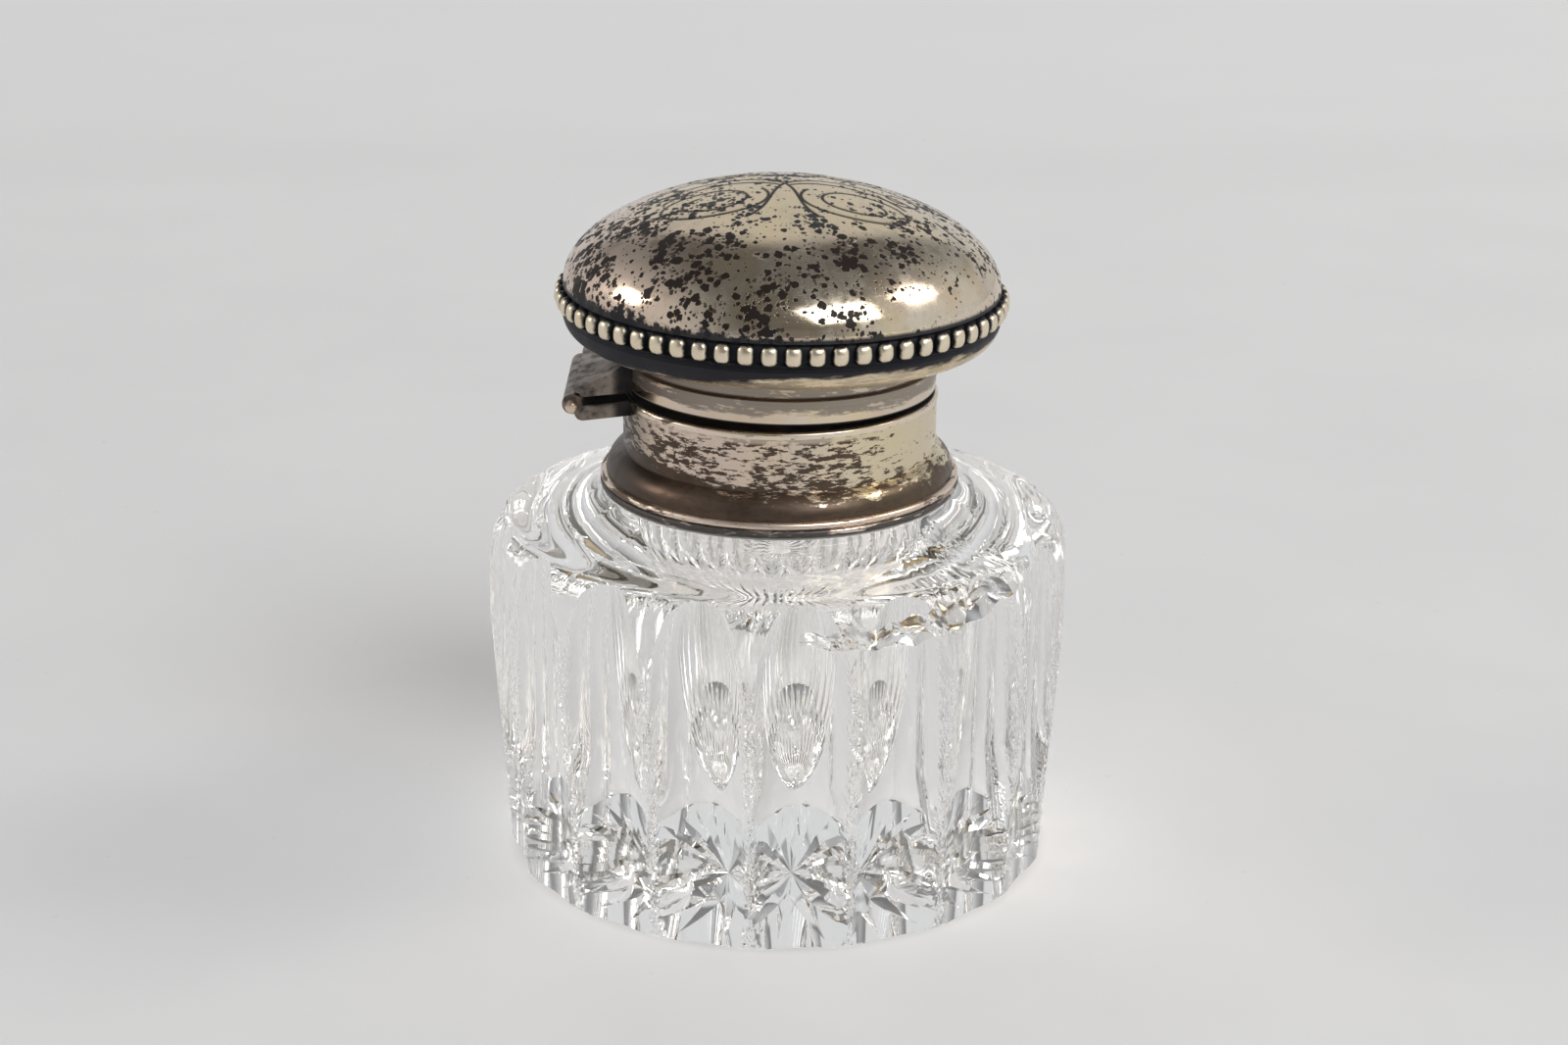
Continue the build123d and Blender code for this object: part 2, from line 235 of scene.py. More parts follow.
WARM_GLASS = (0.976, 0.968, 0.954)
FROSTED_GLASS = (0.93, 0.915, 0.88)
PAPER = (0.785, 0.793, 0.805)
PALE_PAPER = (0.81, 0.818, 0.83)
FAR_PAPER_LIGHT = (0.97, 0.985, 1.0)
PAPER_SHADE = (0.45, 0.45, 0.45)
PAPER_SPECK = (0.5, 0.5, 0.5)
# Painted shade under the glass.
UNDER_GLASS_SHADE = (0.35, 0.35, 0.34)

# ---- floor, lamps, surroundings and camera ----
FLOOR_GAP = 0.05  # the glass stands on high spots, so a film of air is left under it
FLOOR_SIZE = 3000
SWEEP_SHADE_LINE = 410.0  # where a band of painted shade stands for the paper sheet curving up behind the object
SWEEP_HALF_WIDTH = 55.0
FAR_SHEET = (60.0, 800.0)  # along Y, where painted light turns the paper paler
UNDER_SHADE_EDGE = (FOOT_RADIUS - 2, FOOT_RADIUS + 1)  # radii of the painted shade under the glass
SHEET_WIDTH = 0.46  # sine of the half angle the lit sheet fills, seen from the object
SHEET_TOP = 0.86
SHEET_LEVEL = 0.7
HORIZON_LEVEL = 0.62
ROOM_LEVEL = 0.16
FLANK_LEVEL = 0.7
LAMP_TARGET = 0.08  # metres above the floor
WINDOW_SIZE = (1.24, 1.1)
SIDE_LAMP_SIZE = (0.6, 0.6)
LEFT_LAMP = (1.0, 0.88, 0.78)
RIGHT_LAMP = (1.0, 0.90, 0.80)
WORLD_COLOR = (0.975, 0.988, 1.0, 1)
CAMERA_PLACE = (0.00065, -0.3773, 0.1789)  # metres
CAMERA_LENS = 69.78
CAMERA_SENSOR = 36
CAMERA_PITCH = 19.63  # degrees downwards
CAMERA_ROLL = -0.38


def mesh_object(name, points, faces, sharp_degrees=None):
    """Mesh from points in millimetres, smooth apart from edges sharper than sharp_degrees."""
    mesh = bpy.data.meshes.new(name)
    mesh.from_pydata((np.asarray(points) * MM).tolist(), [], faces)
    mesh.validate()
    mesh.shade_smooth()
    if sharp_degrees is not None:
        mesh.set_sharp_from_angle(angle=radians(sharp_degrees))
    piece = bpy.data.objects.new(name, mesh)
    bpy.context.scene.collection.objects.link(piece)
    return piece


def ring_faces(rows, columns, flip=False, closed=False):
    """Quads between stacked rings of points, and from the last ring back to the first if closed."""
    faces = []
    for row in range(rows if closed else rows - 1):
        above = (row + 1) % rows
        for column in range(columns):
            after = (column + 1) % columns
            quad = (
                row * columns + column,
                row * columns + after,
                above * columns + after,
                above * columns + column,
            )
            faces.append(quad[::-1] if flip else quad)
    return faces


def fan(start, columns, tip, flip=False):
    """Triangles from a ring of points, the first of which has the index start, to a tip."""
    faces = []
    for column in range(columns):
        pair = (start + column, start + (column + 1) % columns)
        faces.append((*(pair[::-1] if flip else pair), tip))
    return faces


def shifted(faces, first):
    """Faces of a part whose points come after the first ones of a larger mesh."""
    return [tuple(first + corner for corner in face) for face in faces]


def spun_ring(angle, radius, height):
    """Points at the angles given, round the upright axis."""
    return np.stack([radius * np.cos(angle), radius * np.sin(angle), height + 0 * angle], axis=-1)


def bezier(points, t):
    """Cubic Bezier curve from four points, at each parameter in t."""
    a, b, c, d = (np.array(p, float) for p in points)
    t = np.asarray(t)[..., None]
    return a * (1 - t) ** 3 + 3 * b * t * (1 - t) ** 2 + 3 * c * t**2 * (1 - t) + d * t**3


def flute_radius(offset, height):
    """Distance from the axis to a flute's surface, at an angle in radians from its middle."""
    radius = np.interp(height, FLUTE_HEIGHTS, FLUTE_RADII)
    centre = np.interp(height, FLUTE_HEIGHTS, FLUTE_DEEPEST) + radius
    inside = radius**2 - (centre * np.sin(offset)) ** 2
    cut = centre * np.cos(offset) - np.sqrt(np.maximum(inside, 0))
    return np.where(inside > 0, cut, UNCUT)


SHOULDER_CURVE = (
    (BELT_RADIUS, BELT_HEIGHT),
    (BELT_RADIUS, BELT_HEIGHT + SHOULDER_RISE),
    (SEAT_RADIUS + SHOULDER_REACH, SEAT_HEIGHT - SHOULDER_DIP),
    (SEAT_RADIUS, SEAT_HEIGHT),
)
CURVE_STEPS = np.linspace(0, 1, 2001)
CURVE_POINTS = bezier(SHOULDER_CURVE, CURVE_STEPS)


def blank_radius(height):
    """Radius of the uncut bottle at a height between the foot's bevel and the seat."""
    share = (height - FOOT_CHAMFER) / (BELT_HEIGHT - FOOT_CHAMFER)
    side = FOOT_RADIUS + (BELT_RADIUS - FOOT_RADIUS) * share
    bevel = FOOT_RADIUS - FOOT_CHAMFER + height
    shoulder = np.interp(height, CURVE_POINTS[:, 1], CURVE_POINTS[:, 0])
    return np.where(height < BELT_HEIGHT, np.minimum(side, bevel), shoulder)


def arch_height(offset):
    """Height at which a flute runs out through the shoulder."""
    low = np.full_like(offset, ARCH_LOWEST)
    high = np.full_like(offset, SEAT_HEIGHT - 0.2)
    for _ in range(50):
        middle = (low + high) / 2
        inside = flute_radius(offset, middle) < blank_radius(middle)
        low = np.where(inside, middle, low)
        high = np.where(inside, high, middle)
    return low


def glass_columns():
    """Angle from +X of each mesh column, and its angle from the middle of its flute, in radians."""
    pitch = 360 / FLUTES
    edge = np.array(RIDGE_STEPS)
    inner = np.linspace(edge[-1], pitch - edge[-1], FLUTE_COLUMNS - 2 * len(edge) + 3)[1:-1]
    steps = np.concatenate([edge, inner, pitch - edge[:0:-1]])
    offsets = np.radians(np.tile(steps - pitch / 2, FLUTES))
    starts = np.repeat(np.arange(FLUTES) * pitch, FLUTE_COLUMNS)
    return np.radians(FIRST_RIDGE + starts + np.tile(steps, FLUTES)), offsets


def ray_heights(offset, radius):
    """Height of the star's cut above the table for each angle in radians from a ray's middle line."""
    half_width = RAY_SHOULDER * tan(RAY_OVERLAP * pi / RAYS)
    x = radius * np.cos(offset)
    side = np.abs(radius * np.sin(offset)) / half_width
    inner = (x - RAY_START) / (RAY_SHOULDER - RAY_START) - side
    outer = (RAY_LENGTH - x) / (RAY_LENGTH - RAY_SHOULDER) - side
    return RAY_DEPTH * np.clip(np.minimum(inner, outer), 0, None)


def ridge_wear(angle, offset, height, seed):
    """How worn each column is at a height, from 0 on the flutes to 1 or more on a battered ridge."""
    random = np.random.default_rng(seed)
    from_ridge = (radians(180 / FLUTES) - np.abs(offset)) * FOOT_RADIUS
    strip = np.clip(1 - from_ridge / RIDGE_WEAR, 0, 1)
    ridge = np.round((np.degrees(angle) - FIRST_RIDGE) * FLUTES / 360).astype(int) % FLUTES
    battered = np.where(np.isin(ridge, WORN_RIDGES), WORN_SHARE, 1.0)
    patches = 0.65 + 0.35 * np.sin(height * 0.9 + ridge * 2.1) * np.sin(height * 0.37 + ridge)
    return strip**0.5 * battered * patches * random.uniform(0.15, 1.0, len(angle))


def spall(angle, height):
    """Depth of the rippled break on the shoulder, at angles from +X and heights."""
    across = (np.degrees(angle) + 90 - SPALL_AZIMUTH) / SPALL_HALF_ANGLE
    low, high = SPALL_HEIGHTS
    up = (height - (low + high) / 2) / ((high - low) / 2)
    away = np.hypot(across + 0.25 * up, up)
    ripples = 0.5 + 0.5 * np.cos(21 * away + 5 * np.sin(4 * across + 1.5))
    chips = 0.5 + 0.5 * np.sin(31 * across + 9 * up) * np.sin(17 * up - 13 * across)
    return SPALL_DEPTH * np.clip(1 - away**2, 0, 1) * (0.4 + 0.4 * ripples + 0.2 * chips)


def crack_shell():
    """Thin lens of air inside the shoulder: points, and faces that look into the gap."""
    rows, columns = CRACK_ROWS, CRACK_COLUMNS
    random = np.random.default_rng(11)
    along = np.linspace(0, 1, columns)[None, :]
    inward = np.linspace(0, 1, rows)[:, None]
    azimuth = np.radians(CRACK_AZIMUTHS[0] + along * (CRACK_AZIMUTHS[1] - CRACK_AZIMUTHS[0]) - 90)
    edge = CRACK_HEIGHT - 1.3 * np.sin(pi * along * 1.3) + 2.6 * along**2 + 0.25 * np.sin(along * 47)
    height = edge + inward * (1.2 + 2.0 * along) + 0.1 * np.sin(inward * 9 + along * 29)
    outside = blank_radius(edge + 0 * inward) - CRACK_INSET
    reach = CRACK_REACH * np.sin(pi * np.clip(along, 0.02, 0.98)) ** 0.6
    radius = outside - inward * reach
    height = height + random.uniform(-CRACK_ROUGHNESS, CRACK_ROUGHNESS, height.shape)
    gap = CRACK_GAP * (0.3 + np.sin(pi * inward) * np.sin(pi * along))
    shells = [spun_ring(azimuth, radius, height + side * gap).reshape(-1, 3) for side in (-1, 1)]
    size = rows * columns
    faces = []
    for row in range(rows - 1):
        for column in range(columns - 1):
            corner = row * columns + column
            quad = (corner, corner + 1, corner + columns + 1, corner + columns)
            faces.append(quad)
            faces.append(tuple(size + index for index in quad[::-1]))
    border = list(range(columns)) + [row * columns + columns - 1 for row in range(1, rows)]
    border += [size - 1 - step for step in range(1, columns)]
    border += [row * columns for row in range(rows - 2, 0, -1)]
    for here, after in zip(border, border[1:] + border[:1]):
        faces.append((here, after, size + after, size + here))
    return np.concatenate(shells), faces


def side_rings(angle, offset, top):
    """Rings up the fluted side to the tops of the arches, and how worn their points are."""
    rings = []
    wear = []
    for height in (0.0, FOOT_CHAMFER / 2):
        radius = np.minimum(blank_radius(height), flute_radius(offset, height))
        rings.append(spun_ring(angle, radius, height))
        wear.append(0 * angle)
    for row, share in enumerate(np.linspace(0, 1, FLUTE_ROWS)):
        height = FOOT_CHAMFER + share * (top - FOOT_CHAMFER)
        worn = ridge_wear(angle, offset, height, row)
        cut = np.minimum(blank_radius(height), flute_radius(offset, height))
        broken = spall(angle, height)
        rings.append(spun_ring(angle, cut - WEAR_DEPTH * worn - broken, height))
        wear.append(worn + (broken > SPALL_FROSTED))
    return rings, wear


def shoulder_rings(angle, top):
    """Rings from the tops of the arches to the seat of the mount, and how worn their points are."""
    rings = []
    wear = []
    start = np.interp(top, CURVE_POINTS[:, 1], CURVE_STEPS)
    for share in np.linspace(0, 1, SHOULDER_ROWS)[1:]:
        curve = bezier(SHOULDER_CURVE, start + share * (1 - start))
        broken = spall(angle, curve[:, 1])
        sunk = broken * SPALL_ON_SHOULDER
        rings.append(spun_ring(angle, curve[:, 0] - sunk, curve[:, 1] - sunk))
        wear.append(0.5 * (broken > SPALL_FROSTED))
    return rings, wear


def neck_and_well_rings(angle):
    """Rings up the neck, over the mouth and down the ink well."""
    lip = MOUTH_HEIGHT - MOUTH_ROUNDING
    outline = [(NECK_RADIUS, SEAT_HEIGHT)]
    outline += [(NECK_RADIUS, height) for height in np.linspace(SEAT_HEIGHT + 1, lip, NECK_ROWS)]
    outline += [(NECK_RADIUS - MOUTH_ROUNDING, MOUTH_HEIGHT), (WELL_RADIUS + MOUTH_ROUNDING, MOUTH_HEIGHT)]
    outline += [(WELL_RADIUS, height) for height in np.linspace(lip, WELL_CURVE[0][1], NECK_ROWS)[:-1]]
    outline += list(bezier(WELL_CURVE, np.linspace(0, 1, WELL_ROWS))[:-1])
    return [spun_ring(angle, radius, height) for radius, height in outline]


def star_rings(count):
    """Rings of the base, from its flat edge in to the middle of the star."""
    ray_pitch = 2 * pi / RAYS
    per_ray = count // RAYS
    step = np.arange(count) % per_ray
    from_ray = (step - per_ray * (step > per_ray / 2)) * ray_pitch / per_ray
    first = round((radians(FIRST_RIDGE) + 2 * pi) / ray_pitch) * ray_pitch - 2 * pi
    angle = first + np.arange(count) * 2 * pi / count
    half_width = RAY_SHOULDER * tan(RAY_OVERLAP * pi / RAYS)
    narrowing = (RAY_LENGTH - RAY_SHOULDER) * np.abs(np.sin(from_ray)) / half_width
    tip = RAY_LENGTH / (np.cos(from_ray) + narrowing)
    shoulder = RAY_SHOULDER / np.cos(from_ray)
    rings = [spun_ring(angle, radius, 0.0) for radius in TABLE_RADII]
    cuts = [shoulder + share * (tip - shoulder) for share in RAY_TIP_ROWS]
    cuts += [shoulder * share for share in RAY_MIDDLE_ROWS]
    return rings + [spun_ring(angle, radius, ray_heights(from_ray, radius)) for radius in cuts]


def glass_mesh():
    """Closed mesh of the bottle with the crack inside it, and how worn each point is."""
    angle, offset = glass_columns()
    count = len(angle)
    top = arch_height(offset)
    side, side_wear = side_rings(angle, offset, top)
    shoulder, shoulder_wear = shoulder_rings(angle, top)
    outside = side + shoulder + neck_and_well_rings(angle)
    base = star_rings(count)
    base_edge = len(outside) * count
    well_tip = base_edge + len(base) * count
    base_tip = well_tip + 1
    faces = ring_faces(len(outside), count)
    faces += shifted(ring_faces(len(base), count, flip=True), base_edge)
    for column in range(count):
        after = (column + 1) % count
        faces.append((column, base_edge + column, base_edge + after, after))
    faces += fan(base_edge - count, count, well_tip)
    faces += fan(well_tip - count, count, base_tip, flip=True)
    crack, crack_faces = crack_shell()
    faces += shifted(crack_faces, base_tip + 1)
    middle = RAY_DEPTH * -RAY_START / (RAY_SHOULDER - RAY_START)
    points = np.concatenate([*outside, *base, [(0, 0, WELL_CURVE[3][1]), (0, 0, middle)], crack])
    worn = np.concatenate(side_wear + shoulder_wear)
    return points, faces, np.concatenate([worn, np.zeros(len(points) - len(worn))])


def store_values(piece, name, values):
    """Number per point that a material can read under this name."""
    attribute = piece.data.attributes.new(name, "FLOAT", "POINT")
    attribute.data.foreach_set("value", np.asarray(values, dtype=np.float32))


# ---- materials ----
class Nodes:
    """A node tree being built. Its methods add nodes and return their outputs."""

    def __init__(self, tree):
        self.tree = tree

    def node(self, kind, inputs=(), **settings):
        node = self.tree.nodes.new(kind)
        for key, setting in settings.items():
            setattr(node, key, setting)
        for key, value in dict(inputs).items():
            self.feed(node.inputs[key], value)
        return node

    def feed(self, socket, value):
        if isinstance(value, bpy.types.NodeSocket):
            self.tree.links.new(value, socket)
        elif isinstance(value, tuple) and socket.type == "RGBA":
            socket.default_value = (*value, 1)
        else:
            socket.default_value = value

    def math(self, operation, *values):
        return self.node("ShaderNodeMath", enumerate(values), operation=operation).outputs[0]

    def vector(self, operation, *values):
        return self.node("ShaderNodeVectorMath", enumerate(values), operation=operation).outputs[0]

    def split(self, vector):
        return self.node("ShaderNodeSeparateXYZ", {0: vector}).outputs[:]

    def ramp(self, value, low, high, start=0.0, end=1.0):
        """Smooth step from start to end as value goes from low to high."""
        inputs = {0: value, 1: low, 2: high, 3: start, 4: end}
        return self.node("ShaderNodeMapRange", inputs, interpolation_type="SMOOTHSTEP").outputs[0]

    def blend(self, share, first, second):
        """Mix of two colours."""
        node = self.node("ShaderNodeMix", {0: share}, data_type="RGBA")
        self.feed(node.inputs[6], first)
        self.feed(node.inputs[7], second)
        return node.outputs[2]

    def chain(self, operation, values):
        return reduce(lambda total, value: self.math(operation, total, value), values)

    def add(self, *values):
        return self.chain("ADD", values)

    def either(self, *masks):
        """The strongest of several masks."""
        return self.chain("MAXIMUM", masks)

    def scaled(self, value, factor):
        return self.math("MULTIPLY", value, factor)

    def away(self, value, middle):
        """How far a value is from a middle one, on either side."""
        return self.math("ABSOLUTE", self.math("SUBTRACT", value, middle))

    def length(self, x, y):
        return self.math("SQRT", self.add(self.math("MULTIPLY", x, x), self.math("MULTIPLY", y, y)))


class Pattern(Nodes):
    """A material being built, with its coordinates in millimetres."""

    def __init__(self, name):
        self.material = bpy.data.materials.new(name)
        self.material.use_nodes = True
        super().__init__(self.material.node_tree)
        self.shader = self.tree.nodes["Principled BSDF"]
        coordinates = self.node("ShaderNodeTexCoord").outputs["Object"]
        self.place = self.vector("MULTIPLY", coordinates, (1 / MM, 1 / MM, 1 / MM))

    def noise(self, scale, detail=3.0, roughness=0.55, vector=None):
        """Noise with features about 1/scale millimetres across, centred on 0.5."""
        vector = self.place if vector is None else vector
        inputs = {"Vector": vector, "Scale": scale, "Detail": detail, "Roughness": roughness}
        return self.node("ShaderNodeTexNoise", inputs).outputs["Fac"]

    def around(self, stretch=1.0, at_radius=20.0):
        """Coordinates round the axis: arc length divided by stretch, distance from the axis, height."""
        x, y, z = self.split(self.place)
        arc = self.scaled(self.math("ARCTAN2", x, self.scaled(y, -1.0)), at_radius / stretch)
        return self.node("ShaderNodeCombineXYZ", {0: arc, 1: self.length(x, y), 2: z}).outputs[0]

    def from_axis(self):
        return self.split(self.around())[1]

    def bump(self, height, strength, distance):
        inputs = {"Height": height, "Strength": strength, "Distance": distance * MM}
        self.feed(self.shader.inputs["Normal"], self.node("ShaderNodeBump", inputs).outputs[0])

    def finish(self, color, roughness, metallic=None):
        self.feed(self.shader.inputs["Base Color"], color)
        self.feed(self.shader.inputs["Roughness"], roughness)
        if metallic is not None:
            self.feed(self.shader.inputs["Metallic"], metallic)
        return self.material


def silver_surface(pattern, color, tarnish, film, base_roughness=0.17):
    """Finish a silver material: dark tarnish masks metal, as does painted shade passed in with it, and a
    thin film only dulls it.
    """
    scratches = pattern.noise(1.3, 4, 0.7, pattern.vector("MULTIPLY", pattern.place, (0.5, 3.0, 5.0)))
    dull = pattern.add(
        base_roughness,
        pattern.scaled(film, 0.14),
        pattern.scaled(tarnish, 0.33),
        pattern.ramp(scratches, 0.45, 0.75, 0.0, 0.08),
    )
    wear = pattern.noise(0.35, 3, 0.6)
    height = pattern.add(pattern.scaled(wear, 0.5), pattern.scaled(scratches, 0.06))
    height = pattern.math("SUBTRACT", height, pattern.scaled(tarnish, 0.25))
    pattern.bump(height, 0.35, 0.06)
    metallic = pattern.math("SUBTRACT", 1.0, pattern.scaled(tarnish, 0.9))
    pattern.shader.inputs["Specular IOR Level"].default_value = 0.25
    return pattern.finish(color, dull, metallic)


def silver_base(pattern):
    """Silver whose tone drifts between pale, pinkish and golden, and the slow noise it follows."""
    drift = pattern.noise(0.07, 2)
    patch = pattern.noise(0.16, 4, 0.65)
    tone = pattern.blend(pattern.ramp(drift, 0.36, 0.6), PINK_SILVER, GOLD_SILVER)
    return pattern.blend(pattern.ramp(patch, 0.35, 0.65), tone, PALE_SILVER), patch


def lid_place(pattern):
    """Coordinates in the lid's own untilted position."""
    inputs = {"Vector": pattern.place, "Center": (0, 0, HEIGHT_OF_TILT), "Angle": -radians(LID_TILT)}
    pattern.place = pattern.node("ShaderNodeVectorRotate", inputs, rotation_type="Y_AXIS").outputs[0]
    return pattern.split(pattern.place)


def speckle(pattern, scale, share, warp=0.5):
    """Separate irregular spots, scale of them to a millimetre, that swell and merge where share is high."""
    inputs = {"Vector": pattern.place, "Scale": 2.2 * scale, "Detail": 3.0}
    shift = pattern.node("ShaderNodeTexNoise", inputs).outputs["Color"]
    shift = pattern.vector("SUBTRACT", shift, (0.5, 0.5, 0.5))
    shift = pattern.vector("MULTIPLY", shift, (warp / scale,) * 3)
    moved = pattern.vector("ADD", pattern.place, shift)
    cells = pattern.node("ShaderNodeTexVoronoi", {"Vector": moved, "Scale": scale})
    own = pattern.split(cells.outputs["Color"])[0]
    reach = pattern.math("SUBTRACT", pattern.scaled(share, 0.9), pattern.scaled(own, 0.62))
    return pattern.ramp(pattern.math("SUBTRACT", cells.outputs["Distance"], reach), -0.03, 0.03, 1.0, 0.0)


def dome_material():
    """Silver under black spots in clusters, barer on the right, with a ragged black edge above the beads."""
    pattern = Pattern("dome_silver")
    x, _, z = lid_place(pattern)
    color, patch = silver_base(pattern)
    color = pattern.blend(pattern.ramp(x, -26.0, 2.0, 0.85, 0.0), color, PINK_SILVER)
    color = pattern.blend(pattern.ramp(z, *DOME_GOLD, 0.0, 0.75), color, GOLD_SILVER)
    clusters = pattern.noise(0.15, 3.5, 0.62)
    right = pattern.ramp(x, 0.0, 14.0)
    bare = pattern.scaled(right, pattern.ramp(z, *DOME_BARE, 1.0, 0.0))
    share = pattern.ramp(clusters, 0.36, 0.62, 0.38, 0.96)
    share = pattern.math("SUBTRACT", share, pattern.scaled(bare, 0.26))
    share = pattern.add(share, pattern.ramp(z, *DOME_THINNING, 0.0, -0.12))
    spots = speckle(pattern, 0.85, share)
    specks = speckle(pattern, 1.7, pattern.scaled(share, 0.86))
    sweep = pattern.scaled(pattern.math("SUBTRACT", pattern.noise(0.5, 5, 0.7), 0.5), 7.0)
    ragged = pattern.add(z, sweep, pattern.ramp(x, -26.0, 8.0, 0.25, 0.9))
    rim = pattern.ramp(ragged, *DOME_EDGE, 1.0, 0.0)
    channel = pattern.ramp(z, *DOME_GROOVE, 1.0, 0.0)
    cut = pattern.node("ShaderNodeAttribute", attribute_name="engraving").outputs["Fac"]
    film = pattern.ramp(patch, 0.45, 0.6)
    blush = pattern.ramp(pattern.noise(0.5, 5, 0.7), 0.5, 0.75, 0.0, 0.3)
    color = pattern.blend(blush, color, GREY_TARNISH)
    dark = pattern.blend(pattern.ramp(z, *DOME_GREYING), BROWN_SPOT, GREY_SPOT)
    tarnish = pattern.either(spots, pattern.scaled(specks, 0.95))
    color = pattern.blend(tarnish, color, dark)
    blackening = pattern.either(rim, channel, cut)
    color = pattern.blend(pattern.scaled(blackening, 0.97), color, BLACK_OXIDE_AND_SHADE)
    return silver_surface(pattern, color, pattern.either(tarnish, blackening), film, 0.11)


def border_material():
    """Beads rubbed bright on their faces, with black between and behind them that is partly oxide and partly
    painted shade.
    """
    pattern = Pattern("beaded_silver")
    x, y, z = lid_place(pattern)
    color, patch = silver_base(pattern)
    turn = pattern.math("ARCTAN2", y, x)
    cell = pattern.math("FRACT", pattern.add(pattern.scaled(turn, BEADS / (2 * pi)), BEADS + 0.5))
    across = pattern.math("ABSOLUTE", pattern.scaled(pattern.math("SUBTRACT", cell, 0.5), BEAD_PITCH))
    up = pattern.away(z, BEAD_HEIGHT)
    grime = pattern.scaled(pattern.math("SUBTRACT", pattern.noise(1.1, 4, 0.7), 0.5), 0.5)
    side = pattern.ramp(pattern.add(across, grime), *BEAD_SIDES)
    ends = pattern.ramp(pattern.add(up, grime), *BEAD_ENDS)
    deep = pattern.ramp(pattern.from_axis(), *BEAD_BACKS, 1.0, 0.0)
    # Black at the sides, ends and backs of the beads: partly oxide, partly painted shade.
    blackening = pattern.either(side, ends, deep)
    color = pattern.blend(0.45, color, RUBBED_BEAD)
    color = pattern.blend(blackening, color, BLACK_OXIDE_AND_SHADE)
    return silver_surface(pattern, color, pattern.scaled(blackening, 0.7), pattern.ramp(patch, 0.4, 0.6), 0.22)


def pan_material():
    """Underside of the lid: golden silver with brown streaks, black up by the beads."""
    pattern = Pattern("pan_silver")
    x, _, z = lid_place(pattern)
    color, patch = silver_base(pattern)
    color = pattern.blend(0.6, color, GOLD_SILVER)
    around = pattern.around(4.0, 24.0)
    edge = pattern.scaled(pattern.noise(0.7, 4, 0.65, around), 3.0)
    left = pattern.ramp(x, -20.0, 6.0, 1.6, 0.0)
    blackening = pattern.ramp(pattern.add(z, edge, left), *UNDERSIDE_EDGE)
    streaks = pattern.ramp(pattern.noise(0.9, 4, 0.7, around), 0.5, 0.56)
    streaks = pattern.scaled(streaks, pattern.ramp(x, -18.0, 10.0, 1.0, 0.25))
    color = pattern.blend(streaks, color, BROWN_TARNISH_AND_SHADE)
    color = pattern.blend(blackening, color, UNDERSIDE_OXIDE)
    tarnish = pattern.either(blackening, pattern.scaled(streaks, 0.8))
    return silver_surface(pattern, color, pattern.scaled(tarnish, 0.8), pattern.ramp(patch, 0.4, 0.6), 0.24)


def band_material():
    """The lid's band: washed with a grey brushed film, bare towards its lower lip, which is painted black as
    shade of the gap above the collar, with a thin line of painted shade along its step.
    """
    pattern = Pattern("band_silver")
    x, _, z = lid_place(pattern)
    color, _ = silver_base(pattern)
    around = pattern.around(5.0)
    edge = pattern.scaled(pattern.math("SUBTRACT", pattern.noise(0.8, 5, 0.7, around), 0.5), 5.0)
    grey = pattern.ramp(pattern.add(z, edge), *BAND_WASH)
    flecks = pattern.ramp(pattern.noise(1.6, 4, 0.7, around), 0.58, 0.63)
    cover = pattern.scaled(grey, pattern.math("SUBTRACT", 1.0, pattern.scaled(flecks, 0.8)))
    brushed = pattern.noise(2.6, 3, 0.6, pattern.vector("MULTIPLY", around, (0.1, 1.0, 2.0)))
    film = pattern.blend(brushed, GREY_TARNISH, BRUSHED_FILM)
    film = pattern.blend(pattern.ramp(x, -19.0, -6.0, 0.8, 0.0), film, SMOKED_FILM)
    color = pattern.blend(pattern.scaled(cover, 0.92), color, film)
    corner = pattern.ramp(z, *BAND_CORNER)
    color = pattern.blend(pattern.scaled(corner, 0.8), color, BROWN_TARNISH_AND_SHADE)
    # Painted shade along the step, in the brown of tarnish.
    step = pattern.ramp(pattern.away(z, BAND_STEP), *BAND_STEP_SHADE, 0.75, 0.0)
    color = pattern.blend(step, color, BROWN_TARNISH_AND_SHADE)
    # Painted shade: the lower lip of the band turns black, in the gap above the collar.
    lower = pattern.ramp(z, *BAND_LIP_SHADE, 1.0, 0.0)
    color = pattern.blend(lower, color, BLACK_OXIDE_AND_SHADE)
    return silver_surface(pattern, color, pattern.either(pattern.scaled(cover, 0.3), lower), grey, 0.2)


